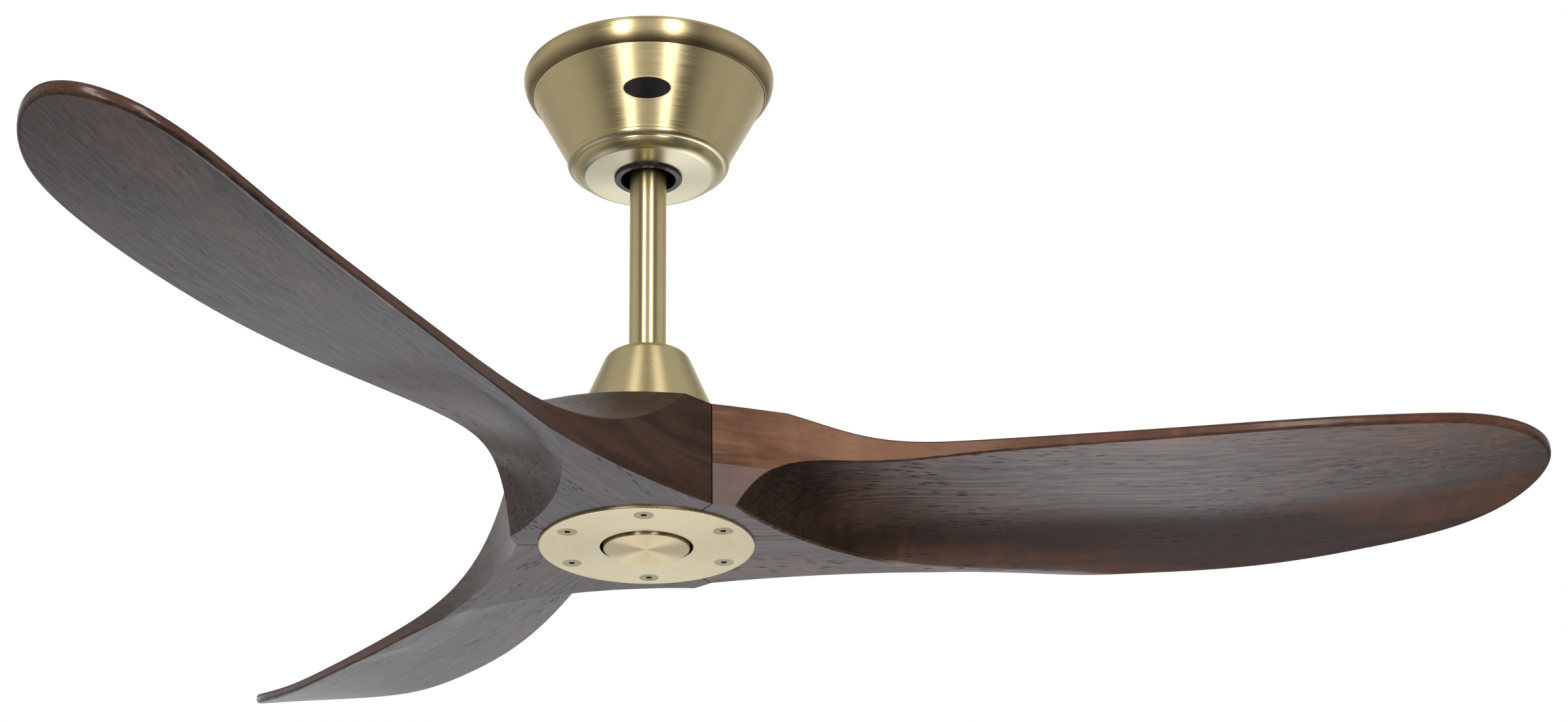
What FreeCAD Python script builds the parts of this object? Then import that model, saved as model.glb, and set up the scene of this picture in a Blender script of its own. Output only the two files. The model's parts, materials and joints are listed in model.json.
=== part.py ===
"""Three-blade ceiling fan on a short downrod.

The row frame has its origin in the ceiling plane on the fan's axis, with +Z up, so the whole fan
hangs below zero. Ceiling-side pieces are drawn in that frame. Everything that turns with the blades,
and the motor inside them, is drawn in the hub frame, whose zero is the flat underside of the wood,
and is then lowered by hub_drop.
"""
import FreeCAD, Part
import Sketcher
import math
import os
import re

Vector = FreeCAD.Vector

# ---------------------------------------------------------------- driving dimensions, mm and degrees

SIZES = {
    # whole fan
    "hub_drop": 361.5,
    "swing_drop": 50.0,
    # canopy, trim ring and the bush in the canopy's floor
    "sheet_wall": 1.2,
    "canopy_neck_radius": 82.4,
    "canopy_neck_end": 16.1,
    "canopy_shoulder_radius": 83.4,
    "canopy_shoulder_drop": 18.7,
    "canopy_cone_radius": 56.7,
    "canopy_cone_drop": 69.8,
    "canopy_lip_radius": 57.8,
    "canopy_lip_drop": 72.4,
    "canopy_groove_radius": 53.4,
    "canopy_groove_drop": 76.0,
    "canopy_floor_radius": 45.0,
    "canopy_floor_drop": 82.3,
    "canopy_hole_radius": 22.5,
    "trim_top_radius": 86.0,
    "trim_bulge_radius": 90.1,
    "trim_bulge_drop": 4.4,
    "trim_end_radius": 84.6,
    "trim_end_drop": 18.3,
    "trim_flange_radius": 81.0,
    "bush_outer_radius": 24.1,
    "bush_inner_radius": 19.7,
    "bush_flange": 2.2,
    "canopy_screw_drop": 9.5,
    "badge_drop": 47.1,
    "badge_width": 35.0,
    "badge_height": 17.0,
    # hanging bracket
    "bracket_length": 156.0,
    "bracket_width": 40.0,
    "bracket_sheet": 2.5,
    "ear_height": 22.0,
    "ear_width": 16.0,
    "slot_spacing": 114.0,
    "slot_length": 16.0,
    "slot_width": 6.2,
    "leg_inside": 33.5,
    "leg_width": 20.0,
    "saddle_radius": 36.0,
    "saddle_top": 6.0,
    "saddle_bottom": 19.0,
    "liner_outer_radius": 29.0,
    "ball_radius": 27.0,
    "ball_top": 20.0,
    "sliding_gap": 0.05,
    # rod, coupler and cover
    "rod_radius": 12.95,
    "rod_bore": 10.95,
    "rod_top": 18.0,
    "rod_foot": 96.0,
    "yoke_radius": 17.0,
    "yoke_foot": 70.0,
    "yoke_top": 138.8,
    "clevis_height": 110.0,
    "clevis_radius": 2.5,
    "rod_screw_height": 124.0,
    "cover_top": 140.1,
    "cover_corner_radius": 27.65,
    "cover_corner_round": 9.5,
    "cover_taper": 0.4217,
    "cover_foot": 67.5,
    "cover_rod_gap": 0.4,
    # wooden hub and blades
    "wood_height": 71.3,
    "hub_corner_radius": 87.8,
    "seam_gap": 0.2,
    "pocket_radius": 69.0,
    "pocket_floor": 14.3,
    "pocket_lip": 66.0,
    "pocket_mouth_radius": 60.5,
    "wood_centre_radius": 34.0,
    "blade_edge": 7.2,
    "blade_camber": 2.5,
    "blade_crown": 2.0,
    "face_middle": -10.0,
    "face_half_width": 80.0,
    "shoulder_line": 103.3,
    "shoulder_lean": 0.164,
    "shoulder_bow": 0.00504,
    "shoulder_turn_start": 65.0,
    "shoulder_turn_width": 125.0,
    "trailing_fall": 57.0,
    "leading_fall": 84.0,
    "leading_ease": 40.0,
    "edge_round_hub": 1.0,
    "edge_round_tip": 3.2,
    "blade_long_edge": 400.0,
    "scoop_radius": 254.0,
    "scoop_centre_x": 284.6,
    "scoop_centre_y": -188.0,
    "scoop_fade": 17.0,
    "scoop_widening": 60.0,
    # plate under the hub
    "plate_radius": 73.4,
    "plate_sheet": 1.74,
    "plate_hole_radius": 31.7,
    "plate_turn": -0.8,
    "plate_screw_circle": 60.1,
    "plate_screw_radius": 3.0,
    "plate_head_radius": 6.6,
    "cap_radius": 29.2,
    "cap_face": 3.5,
    # motor
    "shell_radius": 68.0,
    "shell_bore": 62.0,
    "shell_floor": 6.0,
    "shell_top": 62.0,
    "shell_web": 4.0,
    "bearing_bore": 6.0,
    "bearing_outer": 14.0,
    "bearing_width": 8.0,
    "bearing_pitch": 10.0,
    "bearing_ball": 2.3,
    "lower_bearing": 17.0,
    "upper_bearing": 50.0,
    "shaft_shoulder": 8.0,
    "core_outer": 57.5,
    "core_bore": 26.05,
    "core_ring": 36.0,
    "core_foot": 30.0,
    "core_height": 16.0,
    "tooth_width": 9.0,
    "teeth": 12,
    "magnets": 14,
}

# Stations along a blade: distance from the axis, height of the middle of its lower face, and how
# steeply that face climbs towards the leading edge.
TWIST = [
    (30.0, 19.3, 0.260),
    (150.0, 22.0, 0.384),
    (250.0, 19.8, 0.344),
    (350.0, 21.3, 0.290),
    (450.0, 28.0, 0.262),
    (540.0, 39.9, 0.220),
    (640.0, 62.5, 0.215),
]

# Plan of one blade, its axis along +X: the trailing edge from the hub out, the tip, and the leading
# edge from the hub out. The hub corners come from hub_corner_radius.
TRAILING_EDGE = [(113.9, 60.9), (202.8, 54.1), (282.7, 61.1), (409.4, 66.1), (500.4, 61.4), (585.3, 43.2)]
BLADE_TIP = (611.0, -8.0)
LEADING_EDGE = [(90.0, -61.0), (148.9, -48.0), (229.0, -60.8), (377.5, -83.8), (509.2, -82.6),
                (569.1, -62.3)]

document = FreeCAD.newDocument("ceiling_fan")
dims = document.addObject("Spreadsheet::Sheet", "dims")
for row, (alias, number) in enumerate(SIZES.items(), start=1):
    dims.set(f"A{row}", alias)
    dims.set(f"B{row}", str(number))
    dims.setAlias(f"B{row}", alias)
document.recompute()

PIECES = []


# ---------------------------------------------------------------- helpers

def bound(text):
    """The expression with each size's name pointed at the sheet."""
    return re.sub(r"[a-z_]+", lambda word: "dims." + word.group() if word.group() in SIZES else word.group(),
                  str(text))


def value(text):
    """The number that an expression of sizes gives."""
    return float(dims.evalExpression(bound(text)))


def finish(piece, label, hub=True):
    """Names a piece, lowers a hub piece to its place and lists it for export."""
    piece.Label = label
    if hub:
        piece.setExpression("Placement.Base.z", bound("-hub_drop"))
    PIECES.append(piece)
    return piece


def origin_plane(body, role):
    return next(plane for plane in body.Origin.OriginFeatures if plane.Role == role)


def outline_sketch(body, plane, outline, arcs=None, name="outline"):
    """A closed sketch through expression points. arcs gives a signed radius for the run that starts at
    a point's index: positive turns to the left."""
    arcs = arcs or {}
    sketch = body.newObject("Sketcher::SketchObject", name)
    sketch.AttachmentSupport = (origin_plane(body, plane), [""])
    sketch.MapMode = "FlatFace"
    points = [Vector(value(across), value(up), 0) for across, up in outline]
    ends = []
    for index, start in enumerate(points):
        stop = points[(index + 1) % len(points)]
        if index not in arcs:
            sketch.addGeometry(Part.LineSegment(start, stop))
            ends.append((1, 2))
            continue
        radius = value(arcs[index])
        chord = stop - start
        side = Vector(-chord.y, chord.x, 0).normalize()
        reach = math.sqrt(max(radius * radius - chord.Length ** 2 / 4, 0.0))
        centre = (start + stop) / 2 + side * math.copysign(reach, radius)
        first, last = (start, stop) if radius > 0 else (stop, start)
        angles = [math.atan2(point.y - centre.y, point.x - centre.x) for point in (first, last)]
        circle = Part.Circle(centre, Vector(0, 0, 1), abs(radius))
        sketch.addGeometry(Part.ArcOfCircle(circle, angles[0], angles[1]))
        ends.append((1, 2) if radius > 0 else (2, 1))
    for index, (across, up) in enumerate(outline):
        before = (index - 1) % len(outline)
        add_rule(sketch, ("Coincident", before, ends[before][1], index, ends[index][0]))
        add_rule(sketch, ("DistanceX", index, ends[index][0], points[index].x), across)
        add_rule(sketch, ("DistanceY", index, ends[index][0], points[index].y), up)
        if index in arcs:
            add_rule(sketch, ("Radius", index, abs(value(arcs[index]))), f"abs({arcs[index]})")
    return sketch


def add_rule(sketch, rule, expression=None):
    number = sketch.addConstraint(Sketcher.Constraint(*rule))
    if expression is not None:
        sketch.setExpression(f"Constraints[{number}]", bound(expression))


def revolved(label, outline, arcs=None, tool=False, hub=True):
    """A body turned about the fan's axis from a closed outline of (radius, height) expressions."""
    body = document.addObject("PartDesign::Body", label)
    sketch = outline_sketch(body, "XZ_Plane", outline, arcs)
    turn = body.newObject("PartDesign::Revolution", "turn")
    turn.Profile = (sketch, [""])
    turn.ReferenceAxis = (sketch, ["V_Axis"])
    turn.Angle = 360.0
    return body if tool else finish(body, label, hub)


def ring(label, inner, outer, foot, top, tool=False, hub=True):
    """A plain ring or, with inner left out, a plain disc."""
    return revolved(label, [(inner or 0, foot), (outer, foot), (outer, top), (inner or 0, top)],
                    tool=tool, hub=hub)


def place(piece, x=0, y=0, z=0, turn=0, axis=Vector(0, 0, 1)):
    """Stands a primitive at expression coordinates, turned about an axis."""
    piece.Placement = FreeCAD.Placement(Vector(0, 0, 0), FreeCAD.Rotation(axis, turn))
    for name, expression in (("x", x), ("y", y), ("z", z)):
        piece.setExpression(f"Placement.Base.{name}", bound(expression))
    return piece


def cylinder(radius, height, **where):
    piece = document.addObject("Part::Cylinder", "cylinder")
    piece.setExpression("Radius", bound(radius))
    piece.setExpression("Height", bound(height))
    return place(piece, **where)


def cone(foot_radius, top_radius, height, **where):
    piece = document.addObject("Part::Cone", "cone")
    piece.setExpression("Radius1", bound(foot_radius))
    piece.setExpression("Radius2", bound(top_radius))
    piece.setExpression("Height", bound(height))
    return place(piece, **where)


def box(length, width, height, x=0, y=0, z=0):
    """A block centred on x and y, standing on z."""
    piece = document.addObject("Part::Box", "box")
    for name, expression in (("Length", length), ("Width", width), ("Height", height)):
        piece.setExpression(name, bound(expression))
    return place(piece, x=f"{x} - ({length}) / 2", y=f"{y} - ({width}) / 2", z=z)


def sphere(radius, z):
    piece = document.addObject("Part::Sphere", "sphere")
    piece.setExpression("Radius", bound(radius))
    return place(piece, z=z)


def fused(*pieces):
    union = document.addObject("Part::MultiFuse", "fused")
    union.Shapes = list(pieces)
    return union


def cut(base, *tools):
    difference = document.addObject("Part::Cut", "cut")
    difference.Base = base
    difference.Tool = tools[0] if len(tools) == 1 else fused(*tools)
    return difference


def common(first, second):
    overlap = document.addObject("Part::Common", "common")
    overlap.Base = first
    overlap.Tool = second
    return overlap


def around(label, pattern, count, first=0.0, hub=True):
    """Copies of one piece spaced evenly round the axis, kept as separate solids in one node."""
    document.recompute()
    group = document.addObject("Part::Feature", label)
    copies = []
    for index in range(int(value(count))):
        copy = pattern.Shape.copy()
        copy.rotate(Vector(0, 0, 0), Vector(0, 0, 1), value(first) + index * 360.0 / value(count))
        copies.append(copy)
    group.Shape = Part.Compound(copies)
    group.Placement = FreeCAD.Placement()
    return finish(group, label, hub)


# ---------------------------------------------------------------- ceiling side

def canopy():
    """Spun cone with a rolled lip, a groove, a flat floor and two screw holes under the trim ring."""
    wall = "sheet_wall"
    slant = "sheet_wall * 1.127"
    outline = [
        ("canopy_neck_radius", f"-{wall}"),
        ("canopy_neck_radius", "-canopy_neck_end"),
        ("canopy_shoulder_radius", "-canopy_shoulder_drop"),
        ("canopy_cone_radius", "-canopy_cone_drop"),
        ("canopy_lip_radius", "-canopy_lip_drop"),
        ("canopy_groove_radius", "-canopy_groove_drop"),
        ("canopy_groove_radius - 0.5", "-canopy_groove_drop + 0.3"),
        ("canopy_groove_radius - 0.7", "-canopy_groove_drop - 0.6"),
        ("canopy_floor_radius", "-canopy_floor_drop"),
        ("canopy_hole_radius", "-canopy_floor_drop"),
        ("canopy_hole_radius", f"-canopy_floor_drop + {wall}"),
        ("canopy_floor_radius - 0.4", f"-canopy_floor_drop + {wall}"),
        (f"canopy_groove_radius - {wall} * 1.7", "-canopy_groove_drop - 0.6"),
        (f"canopy_groove_radius - {wall} * 1.2", f"-canopy_groove_drop + {wall} * 1.3"),
        (f"canopy_cone_radius - {slant}", "-canopy_cone_drop"),
        (f"canopy_shoulder_radius - {slant}", "-canopy_shoulder_drop - 0.3"),
        (f"canopy_neck_radius - {wall}", f"-canopy_neck_end - 0.3"),
        (f"canopy_neck_radius - {wall}", f"-{wall}"),
    ]
    shell = revolved("canopy_shell", outline, {3: "2.6", 4: "-4.6", 7: "-11.5", 11: "10.5"}, tool=True)
    holes = cylinder("2.2", "2 * canopy_neck_radius + 10", x="-canopy_neck_radius - 5",
                     z="-canopy_screw_drop", turn=90, axis=Vector(0, 1, 0))
    return finish(cut(shell, holes), "canopy", hub=False)


def trim_ring():
    """Rounded band that hides the canopy's neck; its flange is clamped against the ceiling."""
    wall = "sheet_wall"
    outline = [
        ("trim_top_radius", "0"),
        ("trim_flange_radius", "0"),
        ("trim_flange_radius", f"-{wall}"),
        (f"trim_top_radius - {wall} * 0.6", f"-{wall}"),
        (f"trim_bulge_radius - {wall}", "-trim_bulge_drop"),
        (f"trim_end_radius - {wall} * 0.7", "-trim_end_drop"),
        ("trim_end_radius", "-trim_end_drop"),
        ("trim_bulge_radius", "-trim_bulge_drop"),
    ]
    arcs = {3: "-4.6", 4: "-17.5", 6: "18.7", 7: "4.6"}
    return revolved("trim_ring", outline, arcs, hub=False)


def canopy_bush():
    """Plastic bush snapped into the hole in the canopy's floor."""
    outline = [
        ("bush_inner_radius", "-canopy_floor_drop - bush_flange"),
        ("bush_outer_radius - 0.6", "-canopy_floor_drop - bush_flange"),
        ("bush_outer_radius", "-canopy_floor_drop - bush_flange + 0.6"),
        ("bush_outer_radius", "-canopy_floor_drop"),
        ("canopy_hole_radius - 0.1", "-canopy_floor_drop"),
        ("canopy_hole_radius - 0.1", "-canopy_floor_drop + sheet_wall + 0.1"),
        ("canopy_hole_radius + 0.8", "-canopy_floor_drop + sheet_wall + 0.1"),
        ("canopy_hole_radius - 0.5", "-canopy_floor_drop + sheet_wall + 3"),
        ("bush_inner_radius", "-canopy_floor_drop + sheet_wall + 3"),
    ]
    return revolved("canopy_bush", outline, hub=False)


def canopy_screws():
    """Two pan-head screws through the canopy's neck into the bracket's ears, with washers."""
    head = [("0", "0"), ("4", "0"), ("4", "1.3"), ("2.6", "2.4"), ("0", "2.4")]
    along = {"z": "-canopy_screw_drop", "turn": 90, "axis": Vector(0, 1, 0)}
    top = revolved("canopy_screw_head", head, {2: "3"}, tool=True)
    place(top, x="canopy_neck_radius + 0.8", **along)
    shank = cylinder("1.95", "8.8", x="canopy_neck_radius - 8", **along)
    washer = cut(cylinder("4.6", "0.75", x="canopy_neck_radius + 0.02", **along),
                 cylinder("2.2", "4", x="canopy_neck_radius - 1", **along))
    around("canopy_screws", fused(top, shank), 2, hub=False)
    around("canopy_washers", washer, 2, hub=False)


def badge():
    """Oval badge bent to the cone on the front: a brass rim with a dark enamel field inside it."""
    taper = ((value("canopy_shoulder_radius") - value("canopy_cone_radius"))
             / (value("canopy_cone_drop") - value("canopy_shoulder_drop")))
    front = value("canopy_shoulder_radius") - taper * (value("badge_drop") - value("canopy_shoulder_drop"))
    facing = FreeCAD.Rotation(Vector(1, 0, 0), 90.0 + math.degrees(math.atan(taper)))
    middle = Vector(0, -front, -value("badge_drop"))

    def oval_prism(inset):
        oval = document.addObject("Part::Ellipse", "oval")
        oval.setExpression("MajorRadius", bound(f"badge_width / 2 - {inset}"))
        oval.setExpression("MinorRadius", bound(f"badge_height / 2 - {inset}"))
        oval.Placement = FreeCAD.Placement(middle, facing)
        prism = document.addObject("Part::Extrusion", "oval_prism")
        prism.Base = oval
        prism.DirMode = "Normal"
        prism.LengthFwd = 6.0
        prism.LengthRev = 6.0
        prism.Solid = True
        return prism

    def skin(depth):
        return revolved("badge_skin", [
            ("canopy_shoulder_radius + 0.02", "-canopy_shoulder_drop"),
            ("canopy_cone_radius + 0.02", "-canopy_cone_drop"),
            (f"canopy_cone_radius + {depth}", "-canopy_cone_drop"),
            (f"canopy_shoulder_radius + {depth}", "-canopy_shoulder_drop"),
        ], tool=True)

    finish(common(skin(0.9), cut(oval_prism(0.0), oval_prism(0.92))), "badge_rim", hub=False)
    finish(common(skin(0.7), oval_prism(0.96)), "badge_enamel", hub=False)


def ceiling_bracket():
    """Steel hanger: slotted ceiling plate, two ears, a tab, two legs and the saddle for the ball."""
    sheet = "bracket_sheet"
    leg_height = "swing_drop + saddle_top"
    plate = box("bracket_length", "bracket_width", sheet, z=f"-{sheet}")
    tab = box("40", "20", sheet, y="28", z=f"-{sheet}")
    solids = [plate, tab]
    for side in ("1", "-1"):
        solids.append(box(sheet, "ear_width", "ear_height",
                          x=f"{side} * (bracket_length - {sheet}) / 2", z="-ear_height"))
        solids.append(box("saddle_radius - leg_inside", "leg_width", f"{leg_height} + 4",
                          x=f"{side} * (saddle_radius + leg_inside) / 2", z=f"-({leg_height}) - 4"))
    saddle = cylinder("saddle_radius", "saddle_bottom - saddle_top", z="-swing_drop - saddle_bottom")
    hollow = sphere("liner_outer_radius + sliding_gap", "-swing_drop")
    slots = []
    for side in ("1", "-1"):
        middle = f"{side} * slot_spacing / 2"
        slots.append(box("slot_length - slot_width", "slot_width", "10", x=middle, z="-6"))
        for end in ("1", "-1"):
            slots.append(cylinder("slot_width / 2", "10", z="-6",
                                  x=f"{middle} + {end} * (slot_length - slot_width) / 2"))
    taps = cylinder("2", "bracket_length + 10", x="-bracket_length / 2 - 5", z="-canopy_screw_drop",
                    turn=90, axis=Vector(0, 1, 0))
    block_tap = cylinder("1.6", "10", y="30", z="-6")
    frame = fused(*solids, saddle)
    return finish(cut(frame, hollow, *slots, taps, block_tap), "ceiling_bracket", hub=False)


def receiver():
    """Remote-control receiver in two halves, held under the bracket by a foam pad."""
    finish(box("56", "26", "4.5", z="-bracket_sheet - 4.5"), "receiver_pad", hub=False)
    finish(box("56", "26", "5", z="-bracket_sheet - 9.5"), "receiver_lid", hub=False)
    finish(box("56", "26", "9", z="-bracket_sheet - 18.5"), "receiver_box", hub=False)


def terminal_block():
    """Three-way terminal block screwed to the bracket's tab."""
    body = box("34", "12", "10", y="30", z="-bracket_sheet - 10")
    wells = [cylinder("2.6", "6", x=x, y="30", z="-bracket_sheet - 11") for x in ("-11", "11")]
    middle = cylinder("2.0", "14", y="30", z="-bracket_sheet - 11")
    finish(cut(body, middle, *wells), "terminal_block", hub=False)
    clamps = [cylinder("2.2", "3", x=x, y="30", z="-bracket_sheet - 8.5") for x in ("-11", "11")]
    finish(fused(*clamps), "terminal_screws", hub=False)
    head = cylinder("3.4", "2", y="30", z="-bracket_sheet - 12.05")
    shank = cylinder("1.55", "13", y="30", z="-bracket_sheet - 11")
    finish(fused(head, shank), "block_screw", hub=False)


# ---------------------------------------------------------------- hanging ball, rod and coupler

def hanging_ball():
    """Ball, its rubber liner, cross pin and lock screw, about a centre swing_drop below the ceiling."""
    middle = "-swing_drop"
    slab = cylinder("liner_outer_radius + 5", "11", z=f"{middle} - 18.2")
    liner = cut(common(sphere("liner_outer_radius", middle), slab),
                sphere("ball_radius + sliding_gap", middle))
    finish(liner, "saddle_liner", hub=False)
    band = cylinder("ball_radius + 5", "saddle_bottom + ball_top", z=f"{middle} - saddle_bottom")
    ball = common(sphere("ball_radius", middle), band)
    bore = cylinder("rod_radius + sliding_gap", "80", z=f"{middle} - 40")
    pin_hole = cylinder("3.05", "60", x="-30", z=f"{middle} + 6", turn=90, axis=Vector(0, 1, 0))
    tap = cylinder("2.55", "40", z=middle, turn=-90, axis=Vector(1, 0, 0))
    finish(cut(ball, bore, pin_hole, tap), "hanger_ball", hub=False)
    finish(cylinder("3", "44", x="-22", z=f"{middle} + 6", turn=90, axis=Vector(0, 1, 0)),
           "ball_pin", hub=False)
    screw = cut(cylinder("2.5", "10", y="rod_radius + 0.05", z=middle, turn=-90, axis=Vector(1, 0, 0)),
                cylinder("1.3", "4", y="rod_radius + 7", z=middle, turn=-90, axis=Vector(1, 0, 0)))
    finish(screw, "ball_lock_screw", hub=False)


def downrod():
    """Brushed tube from the ball to the coupler, drilled for both cross pins."""
    foot = "-hub_drop + rod_foot"
    length = "hub_drop - rod_foot - swing_drop + rod_top"
    tube = cut(cylinder("rod_radius", length, z=foot), cylinder("rod_bore", f"{length} + 4", z=f"{foot} - 2"))
    upper = cylinder("3.05", "60", x="-30", z="-swing_drop + 6", turn=90, axis=Vector(0, 1, 0))
    lower = cylinder("clevis_radius + 0.1", "60", x="-30", z="-hub_drop + clevis_height",
                     turn=90, axis=Vector(0, 1, 0))
    return finish(cut(tube, upper, lower), "downrod", hub=False)


def coupler():
    """Yoke between the rod and the motor's fixed shaft, with its pin, clip and lock screws."""
    drop = "-hub_drop"
    blank = cylinder("yoke_radius", "yoke_top - yoke_foot", z=f"{drop} + yoke_foot")
    socket = cylinder("rod_radius + sliding_gap", "60", z=f"{drop} + rod_foot - 2")
    shaft_bore = cylinder("bearing_bore + sliding_gap", "40", z=f"{drop} + yoke_foot - 5")
    pin_hole = cylinder("clevis_radius + 0.1", "60", x="-30", z=f"{drop} + clevis_height",
                        turn=90, axis=Vector(0, 1, 0))
    screw_hole = cylinder("3.05", "60", y="-30", z=f"{drop} + rod_screw_height",
                          turn=-90, axis=Vector(1, 0, 0))
    shaft_tap = cylinder("2.55", "30", z=f"{drop} + yoke_foot + 12", turn=90, axis=Vector(0, 1, 0))
    finish(cut(blank, socket, shaft_bore, pin_hole, screw_hole, shaft_tap), "motor_yoke", hub=False)

    pin = fused(cylinder("clevis_radius", "42", x="-20", z=f"{drop} + clevis_height", turn=90,
                         axis=Vector(0, 1, 0)),
                cylinder("clevis_radius + 1.6", "2", x="-yoke_radius - 2.1", z=f"{drop} + clevis_height",
                         turn=90, axis=Vector(0, 1, 0)))
    clip_hole = cylinder("0.9", "10", x="yoke_radius + 2.6", y="-5", z=f"{drop} + clevis_height",
                         turn=-90, axis=Vector(1, 0, 0))
    finish(cut(pin, clip_hole), "clevis_pin", hub=False)

    straight = cylinder("0.8", "16", x="yoke_radius + 2.6", y="-5", z=f"{drop} + clevis_height",
                        turn=-90, axis=Vector(1, 0, 0))
    spring = cylinder("0.8", "13", x="yoke_radius + 2.6", y="-2", z=f"{drop} + clevis_height + 3.8",
                      turn=-90, axis=Vector(1, 0, 0))
    eye = cut(cylinder("2.7", "1.6", x="yoke_radius + 1.8", y="11.4", z=f"{drop} + clevis_height + 1.9",
                       turn=90, axis=Vector(0, 1, 0)),
              cylinder("1.1", "4", x="yoke_radius + 0.6", y="11.4", z=f"{drop} + clevis_height + 1.9",
                       turn=90, axis=Vector(0, 1, 0)))
    finish(fused(straight, spring, eye), "clevis_clip", hub=False)

    screw = fused(cylinder("3", "12", y="rod_radius + 0.05", z=f"{drop} + rod_screw_height",
                           turn=-90, axis=Vector(1, 0, 0)),
                  cylinder("4.2", "3.2", y="rod_radius + 12", z=f"{drop} + rod_screw_height",
                           turn=-90, axis=Vector(1, 0, 0)))
    around("rod_lock_screws", screw, 2, hub=False)
    nut = document.addObject("Part::Prism", "nut_blank")
    nut.Polygon = 6
    nut.Circumradius = 5.6
    nut.Height = 3.2
    place(nut, y="yoke_radius + 0.3", z=f"{drop} + rod_screw_height", turn=-90, axis=Vector(1, 0, 0))
    thread = cylinder("3.05", "12", y="yoke_radius - 3", z=f"{drop} + rod_screw_height",
                      turn=-90, axis=Vector(1, 0, 0))
    around("rod_lock_nuts", cut(nut, thread), 2, hub=False)
    finish(cylinder("2.5", "10", x="bearing_bore + 0.1", z=f"{drop} + yoke_foot + 12",
                    turn=90, axis=Vector(0, 1, 0)), "shaft_lock_screw", hub=False)


def coupling_cover():
    """Conical spun cover that hangs on the coupler's top and slides up the rod for service."""
    slant = "sheet_wall * 1.085"
    solids = []
    for label, top, corner, foot, rounding in (
            ("cover_outside", "cover_top", "cover_corner_radius", "cover_foot", "cover_corner_round"),
            ("cover_inside", "cover_top - sheet_wall",
             f"cover_corner_radius + sheet_wall * cover_taper - {slant}", "cover_foot - 2",
             "cover_corner_round - sheet_wall")):
        body = revolved(label, [
            ("0", foot),
            (f"{corner} + (({top}) - ({foot})) * cover_taper", foot),
            (corner, top),
            ("0", top),
        ], tool=True)
        document.recompute()
        solid = body.Tip
        shoulder = [f"Edge{index}" for index, edge in enumerate(solid.Shape.Edges, start=1)
                    if edge.Closed and abs(edge.BoundBox.ZMin - value(top)) < 0.01
                    and abs(edge.BoundBox.XMax - value(corner)) < 0.5]
        rounded = body.newObject("PartDesign::Fillet", f"{label}_round")
        rounded.Base = (solid, shoulder)
        rounded.setExpression("Radius", bound(rounding))
        body.Tip = rounded
        solids.append(body)
    rod_hole = cylinder("rod_radius + cover_rod_gap", "20", z="cover_top - 10")
    return finish(cut(solids[0], solids[1], rod_hole), "coupling_cover")


# ---------------------------------------------------------------- motor, fixed side

def motor_shaft():
    """Hollow fixed shaft, stepped to carry the two bearings and the stator."""
    shaft = revolved("motor_shaft_blank", [
        ("0", "8"),
        ("bearing_bore - 0.05", "8"),
        ("bearing_bore - 0.05", "lower_bearing + bearing_width"),
        ("shaft_shoulder", "lower_bearing + bearing_width"),
        ("shaft_shoulder", "upper_bearing"),
        ("bearing_bore - 0.05", "upper_bearing"),
        ("bearing_bore - 0.05", "rod_foot - 4"),
        ("0", "rod_foot - 4"),
    ], tool=True)
    lead_way = cylinder("3", "80", z="lower_bearing + 9")
    cap_tap = cylinder("2.55", "14", z="6")
    return finish(cut(shaft, lead_way, cap_tap), "motor_shaft")


def stator():
    """Support spider, laminated core with its teeth, and one coil on each tooth."""
    revolved("stator_support", [
        ("shaft_shoulder + 0.05", "core_foot - 1"),
        ("30", "core_foot - 1"),
        ("30", "core_foot"),
        ("core_bore - 0.05", "core_foot"),
        ("core_bore - 0.05", "core_foot + core_height"),
        ("shaft_shoulder + 0.05", "core_foot + core_height"),
    ])
    yoke = ring("core_yoke", "core_bore", "core_ring", "core_foot", "core_foot + core_height", tool=True)
    stem = box("core_outer - core_ring + 1", "tooth_width", "core_height",
               x="(core_outer + core_ring - 2) / 2", z="core_foot")
    rim = ring("core_rim", "core_outer - 3.5", "core_outer", "core_foot",
               "core_foot + core_height", tool=True)
    shoe = common(rim, box("20", "24", "core_height", x="core_outer", z="core_foot"))
    document.recompute()
    pole = fused(stem, shoe)
    document.recompute()
    core = document.addObject("Part::Feature", "stator_core")
    solid = yoke.Shape
    for index in range(int(value("teeth"))):
        tooth = pole.Shape.copy()
        tooth.rotate(Vector(0, 0, 0), Vector(0, 0, 1), index * 360.0 / value("teeth"))
        solid = solid.fuse(tooth)
    core.Shape = solid.removeSplitter()
    core.Placement = FreeCAD.Placement()
    finish(core, "stator_core")

    coil_middle = "(core_ring + core_outer - 3.5) / 2"
    coil = cut(box("14", "16", "core_height + 8", x=coil_middle, z="core_foot - 4"),
               box("18", "tooth_width + 0.4", "core_height + 0.4", x=coil_middle, z="core_foot - 0.2"))
    around("stator_windings", coil, "teeth")


def driver_board():
    """Ring-shaped driver board under the stator with its posts and larger components."""
    ring("driver_board", "23", "55", "21.8", "23.3")
    around("board_posts", cylinder("2.5", "core_foot - 24.3", x="27", z="23.3"), 3)
    capacitor = cylinder("3", "5.2", x="32.5", z="23.3")
    around("board_capacitors", capacitor, 4, first=30.0)


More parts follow.
